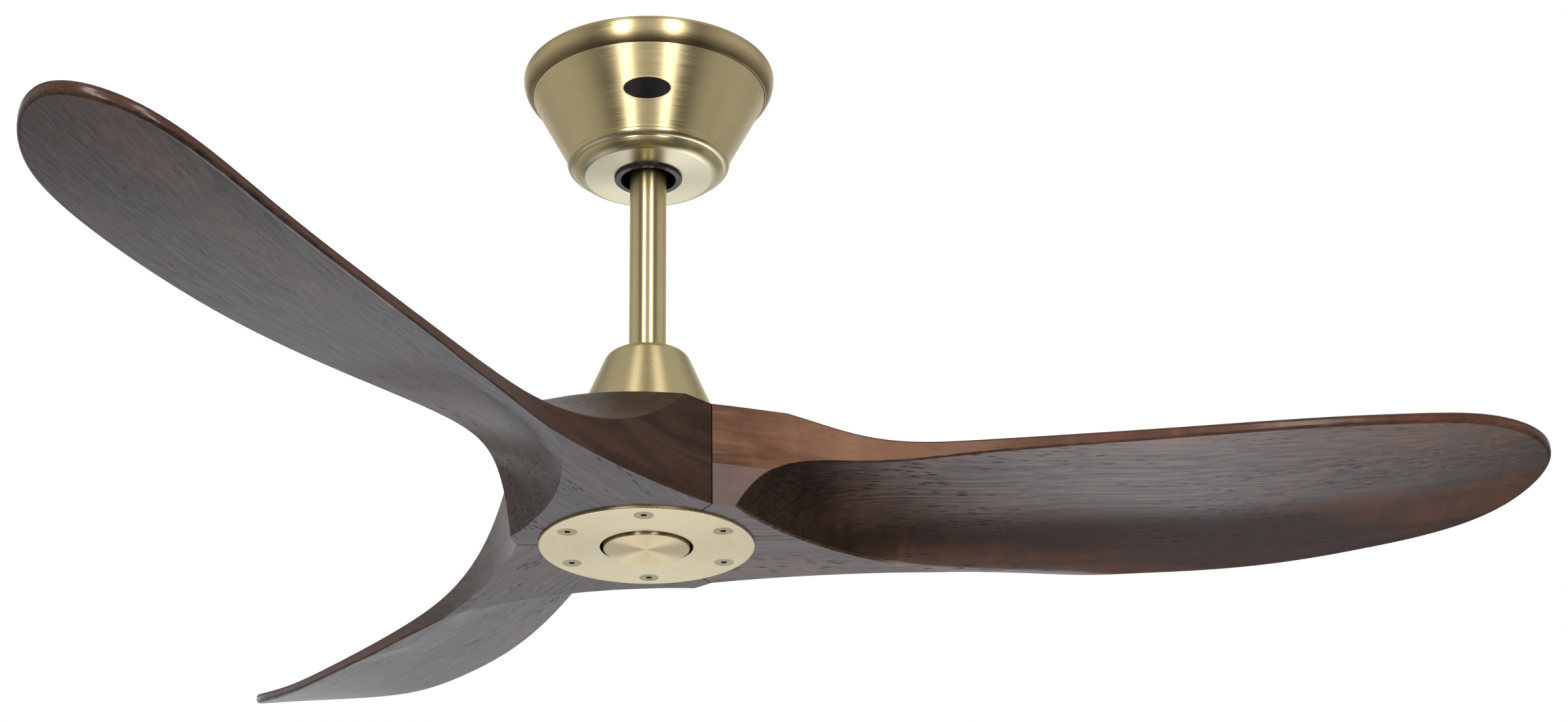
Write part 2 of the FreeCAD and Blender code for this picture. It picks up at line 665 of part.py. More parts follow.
def cap():
    """Black holder screwed to the foot of the shaft and the spun centre cap clipped over it."""
    holder = revolved("cap_holder_blank", [
        ("0", "-1.6"),
        ("27.6", "-1.6"),
        ("27.6", "2.5"),
        ("10", "2.5"),
        ("10", "13.5"),
        ("bearing_bore + 0.05", "13.5"),
        ("bearing_bore + 0.05", "7.9"),
        ("0", "7.9"),
    ], tool=True)
    head_well = cylinder("4.8", "5.0", z="-3")
    shank_hole = cylinder("2.6", "20", z="-3")
    finish(cut(holder, head_well, shank_hole), "cap_holder")
    screw = fused(cylinder("4.5", "3", z="-1.2"), cylinder("2.5", "15", z="1.6"))
    finish(screw, "cap_screw")
    revolved("centre_cap", [
        ("0", "-cap_face"),
        ("cap_radius - 0.8", "-cap_face"),
        ("cap_radius", "-cap_face + 0.8"),
        ("cap_radius", "2"),
        ("cap_radius - 1.4", "2"),
        ("cap_radius - 1.4", "-cap_face + 1.4"),
        ("0", "-cap_face + 1.4"),
    ], {1: "0.8"})


# ---------------------------------------------------------------- motor, turning side

def bearings():
    """Two deep-groove ball bearings: inner rings on the shaft, outer rings in the shells."""
    track = "(bearing_ball + sliding_gap)"
    inner_land, outer_land = "bearing_pitch - 1", "bearing_pitch + 1"
    inner, outer, balls = [], [], []
    for foot in ("lower_bearing", "upper_bearing"):
        top = f"{foot} + bearing_width"
        middle = f"{foot} + bearing_width / 2"
        below, above = (f"{middle} {sign} sqrt({track} ^ 2 - 1)" for sign in "-+")
        inner.append(revolved("inner_ring", [
            ("bearing_bore", foot), (inner_land, foot), (inner_land, below),
            (inner_land, above), (inner_land, top), ("bearing_bore", top),
        ], {2: f"-{track}"}, tool=True))
        outer.append(revolved("outer_ring", [
            (outer_land, foot), ("bearing_outer - 0.02", foot), ("bearing_outer - 0.02", top),
            (outer_land, top), (outer_land, above), (outer_land, below),
        ], {4: f"-{track}"}, tool=True))
        ball = sphere("bearing_ball", middle)
        ball.setExpression("Placement.Base.x", bound("bearing_pitch"))
        balls.append(ball)
    finish(fused(*inner), "bearing_inner_rings")
    finish(fused(*outer), "bearing_outer_rings")
    around("bearing_balls", fused(*balls), 8)


def shell_screw_places(radius, height, foot):
    """Six upright cylinders on the shells' screw circle, one beside each plate screw."""
    circle = "(shell_radius + shell_bore) / 2"
    return [cylinder(radius, height, z=foot, x=f"{circle} * cos({60 * step} deg)",
                     y=f"{circle} * sin({60 * step} deg)") for step in range(6)]


def plate_screw_places(make):
    """Six tools on the plate's screw circle, shared by the plate, the wood and the lower shell."""
    tools = []
    for step in range(6):
        angle = f"({60 * step + 30} + plate_turn) * 1 deg"
        tools.append(make(f"plate_screw_circle * cos({angle})", f"plate_screw_circle * sin({angle})"))
    return tools


def motor_shells():
    """The two turning housing halves and the screws that join them."""
    joint = "pocket_floor + shell_floor"
    lower = revolved("lower_shell_blank", [
        ("9.5", "pocket_floor"),
        ("shell_radius", "pocket_floor"),
        ("shell_radius", joint),
        ("20", joint),
        ("18", "lower_bearing + bearing_width"),
        ("bearing_outer", "lower_bearing + bearing_width"),
        ("bearing_outer", "lower_bearing"),
        ("9.5", "lower_bearing"),
    ], tool=True)
    taps = plate_screw_places(
        lambda x, y: cylinder("plate_screw_radius + 0.05", "20", x=x, y=y, z="pocket_floor - 5"))
    wells = shell_screw_places("2.9", "3.2", "pocket_floor - 0.1")
    shanks = shell_screw_places("1.6", "20", "pocket_floor - 1")
    finish(cut(lower, *taps, *wells, *shanks), "rotor_lower_shell")

    upper = revolved("upper_shell_blank", [
        ("shell_radius", joint),
        ("shell_radius", "shell_top - 3"),
        ("shell_radius - 3", "shell_top"),
        ("9.5", "shell_top"),
        ("9.5", "upper_bearing + bearing_width"),
        ("bearing_outer", "upper_bearing + bearing_width"),
        ("bearing_outer", "upper_bearing"),
        ("18", "upper_bearing"),
        ("20", "shell_top - shell_web"),
        ("shell_bore", "shell_top - shell_web"),
        ("shell_bore", joint),
    ], {1: "3"}, tool=True)
    sockets = shell_screw_places("1.55", "12", f"{joint} - 1")
    finish(cut(upper, *sockets), "rotor_upper_shell")
    heads = shell_screw_places("2.7", "2.9", "pocket_floor + 0.1")
    bodies = shell_screw_places("1.5", "12", "pocket_floor + 2.5")
    finish(fused(*heads, *bodies), "shell_screws")


def rotor_magnets():
    """Arc magnets bonded inside the upper shell round the stator."""
    band = ring("magnet_band", "core_outer + 0.8", "shell_bore - 0.05", "core_foot - 2",
                "core_foot + core_height + 2", tool=True)
    sector = common(band, box("20", "25", "40", x="shell_bore", z="core_foot - 10"))
    around("rotor_magnets", sector, "magnets")


# ---------------------------------------------------------------- plate under the hub

def hub_plate():
    """Round sheet plate with a rolled edge and six dimpled countersinks."""
    disc = revolved("plate_disc", [
        ("plate_hole_radius", "-plate_sheet"),
        ("plate_radius - 0.9", "-plate_sheet"),
        ("plate_radius", "-plate_sheet + 0.9"),
        ("plate_radius", "0"),
        ("plate_hole_radius", "0"),
    ], {1: "0.9"}, tool=True)
    dimples = plate_screw_places(
        lambda x, y: cone("plate_head_radius + 1.3", "plate_screw_radius + 1.3", "3.4", x=x, y=y, z="-0.4"))
    sinks = plate_screw_places(
        lambda x, y: cone("plate_head_radius + 0.15", "plate_screw_radius + 0.15",
                          "plate_head_radius - plate_screw_radius", x=x, y=y, z="-plate_sheet"))
    holes = plate_screw_places(
        lambda x, y: cylinder("plate_screw_radius + 0.15", "10", x=x, y=y, z="-3"))
    return finish(cut(fused(disc, *dimples), *sinks, *holes), "hub_plate")


def plate_screws():
    """Six countersunk hex-socket screws that clamp plate and wood to the lower shell."""
    solids = plate_screw_places(
        lambda x, y: cone("plate_head_radius", "plate_screw_radius",
                          "plate_head_radius - plate_screw_radius", x=x, y=y, z="-plate_sheet + 0.05"))
    solids += plate_screw_places(
        lambda x, y: cylinder("plate_screw_radius", "20.5", x=x, y=y, z="-plate_sheet + 1"))
    sockets = []
    for x, y in plate_screw_places(lambda x, y: (x, y)):
        socket = document.addObject("Part::Prism", "socket")
        socket.Polygon = 6
        socket.Circumradius = 2.3
        socket.Height = 3.0
        sockets.append(place(socket, x=x, y=y, z="-plate_sheet - 0.5"))
    return finish(cut(fused(*solids), *sockets), "plate_screws")


# ---------------------------------------------------------------- wooden blades

def station_curve(column):
    """A smooth curve along the blade through one column of the twist stations."""
    curve = Part.BSplineCurve()
    curve.interpolate([Vector(station[0], station[column] * (100 if column == 2 else 1), 0)
                       for station in TWIST])
    return curve


def read_curve(curve, distance):
    """The curve's height at a distance from the axis, by halving."""
    low, high = curve.FirstParameter, curve.LastParameter
    for _ in range(40):
        middle = (low + high) / 2
        if curve.value(middle).x < distance:
            low = middle
        else:
            high = middle
    return curve.value((low + high) / 2).y


def bow(y):
    """How far the face bows up across the blade: one in its middle line, zero near both edges."""
    return 1 - ((y - value("face_middle")) / value("face_half_width")) ** 2


def lower_face(x, y, rise, climb):
    """Height of the lower face: a twisted, slightly hollow sheet that a round scoop runs out into."""
    sheet = rise - climb * y + value("blade_camber") * bow(y)
    across = x - value("scoop_centre_x")
    up = y - value("scoop_centre_y")
    if across < 0:
        inside = value("scoop_radius") - math.hypot(across, up)
    else:
        inside = value("scoop_radius") - up + across * across / value("scoop_widening")
    if inside < 0:
        return max(sheet, 3.0) * inside / value("scoop_fade")
    return sheet * (1 - math.exp(-inside / value("scoop_fade")))


def upper_face(x, y, rise, climb):
    """Height of the upper face: the edge thickness above the sheet, climbing to the hub's flat top.
    It drops at once on the trailing side and over a soft shoulder on the leading side."""
    crown = (value("blade_camber") + value("blade_crown")) * bow(y)
    sheet = rise - climb * y + value("blade_edge") + crown
    beyond = x - value("shoulder_line") + value("shoulder_lean") * y + value("shoulder_bow") * y * y
    leading = min(1.0, max(0.0, (value("shoulder_turn_start") - y) / value("shoulder_turn_width")))
    leading = leading * leading * (3 - 2 * leading)
    ease = value("leading_ease")
    soft_fall = (math.hypot(beyond, ease) + beyond - ease) / value("leading_fall")
    fall = (1 - leading) * beyond / value("trailing_fall") + leading * soft_fall
    return sheet + (value("wood_height") - sheet) * math.exp(-fall)


def face_tool(height, lift):
    """A solid from a carved face to well beyond the wood, upward or downward."""
    rises, climbs = station_curve(1), station_curve(2)
    grid = []
    for step in range(40):
        x = 30.0 + 15.25 * step
        rise, climb = read_curve(rises, x), read_curve(climbs, x) / 100
        grid.append([Vector(x, y, height(x, y, rise, climb)) for y in range(-100, 100, 15)])
    face = Part.BSplineSurface()
    face.interpolate(grid)
    return face.toShape().extrude(Vector(0, 0, lift))


def blade_plan():
    """The plan of one blade and its third of the hub, as a face on the hub's zero plane."""
    gap = value("seam_gap")
    corner = Vector(value("hub_corner_radius") / 2 + 0.866 * gap,
                    value("hub_corner_radius") * math.sqrt(3) / 2 - 0.5 * gap, 0)
    trailing = [corner] + [Vector(x, y, 0) for x, y in TRAILING_EDGE]
    leading = [Vector(x, y, 0) for x, y in reversed(LEADING_EDGE)] + [Vector(corner.x, -corner.y, 0)]
    points = trailing + [Vector(*BLADE_TIP, 0)] + leading
    knots = [0.0]
    for start, stop in zip(points, points[1:]):
        knots.append(knots[-1] + math.sqrt(start.distanceToPoint(stop)))
    edge = Part.BSplineCurve()
    edge.interpolate(Points=points, Parameters=knots)
    trailing_edge, leading_edge = edge.copy(), edge.copy()
    trailing_edge.segment(knots[0], knots[len(trailing)])
    leading_edge.segment(knots[len(trailing)], knots[-1])
    apex = Vector(gap / math.sin(math.pi / 3), 0, 0)
    return Part.Face(Part.Wire([
        Part.makeLine(apex, points[0]), trailing_edge.toShape(), leading_edge.toShape(),
        Part.makeLine(points[-1], apex)]))


def carved_blade():
    """One solid blade with its third of the hub, before the motor pocket and screw holes. Its long
    edges are nearly sharp at the hub and well rounded at the tip."""
    blank = blade_plan().extrude(Vector(0, 0, value("wood_height")))
    carved = document.addObject("Part::Feature", "carved_blade")
    carved.Shape = blank.cut(face_tool(upper_face, 200)).cut(face_tool(lower_face, -200)).removeSplitter()
    carved.Placement = FreeCAD.Placement()
    hub, tip = value("edge_round_hub"), value("edge_round_tip")
    rounds = []
    for number, edge in enumerate(carved.Shape.Edges, start=1):
        if edge.Length > value("blade_long_edge"):
            outward = edge.valueAt(edge.FirstParameter).x < edge.valueAt(edge.LastParameter).x
            rounds.append((number, hub, tip) if outward else (number, tip, hub))
    rounded = document.addObject("Part::Fillet", "rounded_blade")
    rounded.Base = carved
    rounded.Edges = rounds
    return rounded


def blades():
    """Three equal blades whose thirds meet round the motor."""
    centre = cylinder("wood_centre_radius", "40", z="-5")
    pocket = cylinder("pocket_radius", "pocket_lip - pocket_floor", z="pocket_floor")
    mouth = cylinder("pocket_mouth_radius", "30", z="pocket_lip - 5")
    holes = plate_screw_places(
        lambda x, y: cylinder("plate_screw_radius + 0.3", "30", x=x, y=y, z="-5"))
    sinks = plate_screw_places(
        lambda x, y: cone("plate_head_radius + 1.8", "plate_screw_radius + 1.4", "3.5", x=x, y=y, z="-0.2"))
    bored = cut(carved_blade(), centre, pocket, mouth, *holes, *sinks)
    document.recompute()
    for index in range(3):
        blade = document.addObject("Part::Feature", f"blade_{index + 1}")
        blade.Shape = bored.Shape.copy()
        blade.Placement = FreeCAD.Placement(Vector(0, 0, -value("hub_drop")),
                                            FreeCAD.Rotation(Vector(0, 0, 1), 120.0 * index))
        finish(blade, f"blade_{index + 1}", hub=False)


# ---------------------------------------------------------------- build, check and export

def check_and_export():
    document.recompute()
    for thing in document.Objects:
        if {"Invalid", "Error"} & set(thing.State):
            raise RuntimeError(f"{thing.Label}: {thing.State}")
    broken = [piece.Label for piece in PIECES
              if piece.Shape.isNull() or not piece.Shape.isValid() or not piece.Shape.Solids]
    if broken:
        raise RuntimeError(f"bad shapes: {broken}")
    os.makedirs("parts", exist_ok=True)
    for piece in PIECES:
        piece.Shape.exportStep(f"parts/{piece.Label}.step")
    print(len(PIECES), "pieces,", sum(len(piece.Shape.Solids) for piece in PIECES), "solids")


ceiling_bracket()
canopy()
trim_ring()
canopy_bush()
canopy_screws()
badge()
receiver()
terminal_block()
hanging_ball()
downrod()
coupler()
coupling_cover()
motor_shaft()
stator()
driver_board()
cap()
bearings()
motor_shells()
rotor_magnets()
hub_plate()
plate_screws()
blades()
check_and_export()
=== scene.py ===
"""Looks for the three-blade ceiling fan: camera, studio light and a procedural material on every piece."""
import json
import math

import bpy
from mathutils import Matrix, Vector

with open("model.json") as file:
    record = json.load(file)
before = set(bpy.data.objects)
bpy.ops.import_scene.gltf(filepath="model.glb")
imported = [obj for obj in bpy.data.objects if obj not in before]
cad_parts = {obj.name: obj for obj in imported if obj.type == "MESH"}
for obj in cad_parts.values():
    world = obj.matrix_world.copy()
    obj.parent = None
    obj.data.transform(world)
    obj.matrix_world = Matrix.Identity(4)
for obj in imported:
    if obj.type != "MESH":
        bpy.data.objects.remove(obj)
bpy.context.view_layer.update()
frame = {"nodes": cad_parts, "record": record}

NODES = frame["nodes"]

# ------------------------------------------------------------------ node helpers

class Graph:
    """A node tree under construction. add() makes a node; an input given a socket is linked to it."""

    def __init__(self, tree):
        self.tree = tree
        tree.nodes.clear()

    def add(self, kind, inputs=None, **settings):
        node = self.tree.nodes.new("ShaderNode" + kind)
        for name, setting in settings.items():
            setattr(node, name, setting)
        self.feed(node, inputs or {})
        return node

    def feed(self, node, inputs):
        for name, given in inputs.items():
            if isinstance(given, bpy.types.NodeSocket):
                self.tree.links.new(given, node.inputs[name])
            else:
                node.inputs[name].default_value = given

    def math(self, operation, first, second=0.0, clamp=False):
        return self.add("Math", {0: first, 1: second}, operation=operation, use_clamp=clamp).outputs[0]

    def times(self, first, *others):
        """All of the values multiplied together."""
        for other in others:
            first = self.math("MULTIPLY", first, other)
        return first

    def total(self, first, *others):
        """All of the values added together."""
        for other in others:
            first = self.math("ADD", first, other)
        return first

    def rest_of(self, share):
        """What a share leaves of one."""
        return self.math("SUBTRACT", 1.0, share)

    def limits(self, given, low, high, out_low=0.0, out_high=1.0):
        """A smooth step from one value to another; low may be the greater of the two limits."""
        return self.add("MapRange", {"Value": given, "From Min": low, "From Max": high,
                                     "To Min": out_low, "To Max": out_high},
                        interpolation_type="SMOOTHSTEP").outputs["Result"]

    def blend(self, factor, first, second, mode="MIX"):
        node = self.add("Mix", data_type="RGBA", blend_type=mode)
        self.feed(node, {"Factor": factor})
        self.feed(node, {6: first, 7: second})
        return node.outputs[2]

    def split(self, vector):
        """The x, y and z of a vector."""
        return self.add("SeparateXYZ", {0: vector}).outputs

    def join(self, x, y, z):
        return self.add("CombineXYZ", {0: x, 1: y, 2: z}).outputs[0]


class Look(Graph):
    """One material under construction."""

    def __init__(self, name):
        self.material = bpy.data.materials.new(name)
        self.material.use_nodes = True
        super().__init__(self.material.node_tree)
        self.shader = self.add("BsdfPrincipled")
        self.add("OutputMaterial", {"Surface": self.shader.outputs[0]})
        self.place = self.add("TexCoord").outputs["Object"]

    def shade(self, **inputs):
        """Sets the shader's own sockets, named with underscores for spaces."""
        self.feed(self.shader, {name.replace("_", " "): given for name, given in inputs.items()})

    def noise(self, vector, detail=3.0, roughness=0.55, distortion=0.0, scale=1.0):
        return self.add("TexNoise", {"Vector": vector, "Scale": scale, "Detail": detail,
                                     "Roughness": roughness, "Distortion": distortion}).outputs["Fac"]

    def stretched(self, vector, across):
        """The vector scaled by a different amount along each axis."""
        return self.add("VectorMath", {0: vector, 1: across}, operation="MULTIPLY").outputs[0]

    def facing(self):
        """How far a face looks up (one) or down (minus one)."""
        return self.split(self.add("TexCoord").outputs["Normal"])[2]

    def bump(self, height, depth, strength=1.0, below=None):
        inputs = {"Height": height, "Distance": depth, "Strength": strength}
        if below is not None:
            inputs["Normal"] = below
        return self.add("Bump", inputs).outputs[0]


def tint(red, green, blue):
    return (red, green, blue, 1.0)


WHITE = tint(1, 1, 1)

# ------------------------------------------------------------------ camera, light and floor

CAMERA_PLACE = Vector((0.0336, -1.9419, -1.0886))
CAMERA_HEADING = 1.951
CAMERA_PITCH = 23.956
CAMERA_ROLL = 0.669
CAMERA_LENS = 70.283
CAMERA_SENSOR = 36.0
CAMERA_SHIFT = 0.117
CAMERA_REACH = 50.0

FLOOR_HEIGHT = -1.9
FLOOR_SIZE = 60.0

SOFTBOX_ANGLE = 22.0
SOFTBOX_DISTANCE = 2.25
SOFTBOX_WIDTH = 0.36
SOFTBOX_TALL = 2.6
SOFTBOX_MIDDLE = 0.25
SOFTBOX_POWER = 24.0

OVERHEAD_PLACE = (0, 2.6, 2.6)
OVERHEAD_TARGET = (0, 2.6, -1.9)
OVERHEAD_WIDTH = 5.0
OVERHEAD_LENGTH = 4.0
OVERHEAD_POWER = 160.0

LID_RADIUS = 0.083
LID_SIDES = 48
LID_HEIGHT = 0.0005

STUDIO_DIMMEST = 0.08
BACKDROP_TINT = tint(0.97, 0.985, 1.05)


def link_object(name, data):
    thing = bpy.data.objects.new(name, data)
    bpy.context.collection.objects.link(thing)
    return thing


def add_camera():
    """A camera low in front of the fan, looking up at it."""
    data = bpy.data.cameras.new("camera")
    data.lens = CAMERA_LENS
    data.sensor_width = CAMERA_SENSOR
    data.shift_x = CAMERA_SHIFT
    data.clip_end = CAMERA_REACH
    camera = link_object("camera", data)
    camera.matrix_world = (Matrix.Translation(CAMERA_PLACE)
                           @ Matrix.Rotation(math.radians(CAMERA_HEADING), 4, "Z")
                           @ Matrix.Rotation(math.radians(90 + CAMERA_PITCH), 4, "X")
                           @ Matrix.Rotation(math.radians(CAMERA_ROLL), 4, "Z"))
    bpy.context.scene.camera = camera


def add_area_light(name, place, target, width, height, power, colour=(1, 1, 1)):
    """A rectangular lamp that lights and is mirrored, but isn't itself in the picture."""
    data = bpy.data.lights.new(name, "AREA")
    data.shape = "RECTANGLE"
    data.size = width
    data.size_y = height
    data.energy = power
    data.color = colour
    light = link_object(name, data)
    light.location = place
    light.rotation_euler = (Vector(target) - Vector(place)).to_track_quat("-Z", "Y").to_euler()
    light.visible_camera = False
    return light


def add_lights():
    """Two tall strips either side of the camera and a large soft light over the floor behind."""
    for side in (-1, 1):
        angle = math.radians(side * SOFTBOX_ANGLE)
        place = Vector((SOFTBOX_DISTANCE * math.sin(angle), -SOFTBOX_DISTANCE * math.cos(angle),
                        SOFTBOX_MIDDLE))
        add_area_light(f"strip_{'left' if side < 0 else 'right'}", place, (0, 0, SOFTBOX_MIDDLE),
                       SOFTBOX_WIDTH, SOFTBOX_TALL, SOFTBOX_POWER)
    overhead = add_area_light("overhead", OVERHEAD_PLACE, OVERHEAD_TARGET, OVERHEAD_WIDTH,
                              OVERHEAD_LENGTH, OVERHEAD_POWER)
    overhead.visible_glossy = False


def add_world():
    """White behind the fan. What lights it and is mirrored in it is a studio: dim towards the camera,
    half bright at the sides and overhead, with two lamps in line with the strips up there, and
    brightest low down behind, where the backdrop is."""
    world = bpy.data.worlds.new("studio")
    bpy.context.scene.world = world
    world.use_nodes = True
    graph = Graph(world.node_tree)
    step = graph.limits
    x, y, z = graph.split(graph.add("TexCoord").outputs["Generated"])
    width = graph.math("ABSOLUTE", x)
    sides = graph.times(step(width, 0.6, 0.95), step(z, -0.2, 0.4, 0.39, 0.54))
    ceiling = graph.times(step(z, 0.55, 0.95), step(width, 0.25, 0.6, 0.31, 0.66))
    lamps = graph.times(step(width, 0.12, 0.19), step(width, 0.36, 0.28), step(z, 0.72, 0.88),
                        step(y, 0.10, -0.10))
    ceiling = graph.total(ceiling, lamps)
    behind = graph.times(step(y, 0.4, 0.95), step(z, 0.0, 0.3, 0.30, 0.76))
    middle = step(y, -0.72, -0.88, 0.0, 0.42)
    backdrop = graph.times(step(y, 0.15, 0.45), step(z, 0.10, -0.20), step(z, -0.96, -0.84),
                           step(width, 0.64, 0.22))
    strength = graph.total(graph.total(sides, ceiling), graph.total(behind, middle),
                           graph.times(backdrop, step(z, -0.40, -0.74, 0.34, 2.7)), STUDIO_DIMMEST)
    lit = graph.add("Background", {"Strength": strength,
                                   "Color": graph.blend(backdrop, WHITE, BACKDROP_TINT)})
    shown = graph.add("Background", {"Color": WHITE, "Strength": 1.0})
    mix = graph.add("MixShader", {0: graph.add("LightPath").outputs["Is Camera Ray"],
                                  1: lit.outputs[0], 2: shown.outputs[0]})
    graph.add("OutputWorld", {"Surface": mix.outputs[0]})


# ------------------------------------------------------------------ metals

BRASS_LIGHT, BRASS_DARK = tint(0.76, 0.635, 0.355), tint(0.68, 0.555, 0.29)
TARNISH = tint(0.60, 0.48, 0.25)
# Painted shade for the trim ring's lower edge.
PAINTED_SHADE_EDGE = tint(0.27, 0.20, 0.11)
# A painted paler reflection on faces square to the fan's axis.
PAINTED_PALE_REFLECTION = tint(0.60, 0.555, 0.385)
# Heights over which the trim ring's painted shade fades out.
PAINTED_SHADE_LOW, PAINTED_SHADE_HIGH = -0.0185, -0.0085
CLOUDS = (14, 14, 14)
LINES_ROUND = 22.0


def turned_lines(look, fineness):
    """Fine lines round the fan's axis, as a lathe or a brush wheel leaves them. They follow radius
    less height, so they lie right on tubes, cones and flat faces alike."""
    x, y, z = look.split(look.place)
    radius = look.math("SQRT", look.total(look.times(x, x), look.times(y, y)))
    across = look.times(look.math("SUBTRACT", radius, z), fineness)
    spread = look.join(look.times(x, LINES_ROUND), look.times(y, LINES_ROUND), across)
    return look.noise(spread, detail=4.0, roughness=0.75)


def painted_shade_lower_edge(look, colour):
    """Darker and browner along the trim ring's lower edge: painted shade, standing for the dim reflection
    there.
    """
    height = look.split(look.place)[2]
    return look.blend(look.limits(height, PAINTED_SHADE_LOW, PAINTED_SHADE_HIGH), PAINTED_SHADE_EDGE, colour)


def painted_pale_flat_faces(look, colour):
    """Paler where a face lies square to the fan's axis, as on the canopy's floor: a painted paler
    reflection.
    """
    flat = look.limits(look.math("ABSOLUTE", look.facing()), 0.72, 0.99)
    return look.blend(flat, colour, PAINTED_PALE_REFLECTION)


def brass(name, roughness=0.30, stretch=0.7, fineness=2600.0, depth=0.000012,
          base=(BRASS_LIGHT, BRASS_DARK), uneven=1.0, varied=None):
    """Champagne brass: turned lines in colour, roughness and relief, and faint cloudy tarnish. uneven
    scales how far the roughness varies, and varied is a function that changes the colour by place."""
    look = Look(name)
    light, dark = base
    lines = turned_lines(look, fineness)
    cloud = look.noise(look.stretched(look.place, CLOUDS), detail=2.0)
    colour = look.blend(look.limits(lines, 0.3, 0.7), dark, light)
    colour = look.blend(look.limits(cloud, 0.35, 0.75, 0.0, 0.22), colour, TARNISH)
    if varied:
        colour = varied(look, colour)
    grain = look.limits(lines, 0.25, 0.75, roughness - 0.05 * uneven, roughness + 0.07 * uneven)
    wear = look.limits(cloud, 0.3, 0.7, -0.025 * uneven, 0.03 * uneven)
    look.shade(Base_Color=colour, Metallic=1.0, Roughness=look.total(grain, wear),
               Anisotropic=stretch, Anisotropic_Rotation=0.25,
               Tangent=look.add("Tangent", direction_type="RADIAL", axis="Z").outputs[0],
               Normal=look.bump(lines, depth))
    return look.material


def bare_metal(name, light, dark, roughness, scale=700.0, depth=0.00001):
    """Zinc, steel or cast aluminium: mottled colour and roughness with a fine grain in relief."""
    look = Look(name)
    grain = look.noise(look.place, detail=3.0, roughness=0.6, scale=scale)
    patches = look.noise(look.place, detail=2.0, scale=scale / 12)
    colour = look.blend(look.limits(patches, 0.3, 0.7), dark, light)
    uneven = look.limits(look.total(grain, patches), 0.7, 1.3, roughness - 0.06, roughness + 0.1)
    look.shade(Base_Color=colour, Metallic=1.0, Roughness=uneven, Normal=look.bump(grain, depth))
    return look.material


# ------------------------------------------------------------------ wood

# For each blade: how light its broad faces are, how light its side walls are and how dull those are. The
# lightness differs from blade to blade as painted light and shade, for how each blade is lit.
WOOD_LIGHT_AND_SHADE = [(1.0, 1.2, 0.75), (0.7, 0.25, 0.1), (0.6, 0.33, 0.85)]

# How fast each pattern changes along the blade, across it and through its thickness, per metre.
DRIFT = (3.0, 6.0, 6.0)
BANDS = (1.3, 26.0, 30.0)
STREAKS = (10.0, 430.0, 430.0)
FIGURE = (9.0, 14.0, 75.0)
FIBRES = (30.0, 1500.0, 1500.0)
CURL = (55.0, 16.0, 16.0)
SPECKS = (62.0, 560.0, 560.0)
SPECK_CROWDS = (7.0, 70.0, 70.0)

# How far the drift bends the grain, and how far each blade's wood is shifted in the log, in metres.
GRAIN_BEND = (0.0, 0.045, 0.03)
LOG_SHIFT = 0.013

BAND_DARK, BAND_LIGHT = tint(0.012, 0.0058, 0.0040), tint(0.068, 0.031, 0.0175)
STREAK_LIGHT = tint(0.105, 0.048, 0.026)
FLAME_DARK, FLAME_LIGHT = tint(0.022, 0.0085, 0.004), tint(0.074, 0.026, 0.0105)
# Painted shade at the start of blade 1's hollow, by the hub.
HOLLOW_START_SHADE = tint(0.010, 0.0052, 0.0040)
FIGURE_DARK, FIGURE_LIGHT = tint(0.070, 0.030, 0.016), tint(0.200, 0.098, 0.056)
WALL_STREAK = tint(0.100, 0.045, 0.024)
RIM_BROWN = tint(0.080, 0.022, 0.0105)
PALE_STRIP = tint(0.185, 0.132, 0.122)
CURL_GOLD = (0.17, 0.070, 0.026)
# Painted shade on faces that look up.
TOP_PAINTED_SHADE = tint(0.050, 0.029, 0.019)
PORE_DARK = tint(0.006, 0.0035, 0.0028)
SEAM_BLACK = tint(0.004, 0.003, 0.003)

# Places on a blade, in metres: outwards from the fan's axis, across the blade, and in height.
RIM_START, RIM_FULL = 0.14, 0.34
HOLLOW_FIRST, HOLLOW_LAST = 0.11, 0.175
HOLLOW_EDGE_OUT, HOLLOW_EDGE_IN = -0.025, 0.020
FADE_START, FADE_END = 0.30, 0.50
WOOD_FOOT = -0.3615
STRIP_TOP = -0.3325
SEAM_DARK = 0.0009
SECTOR_HALF = math.radians(60)


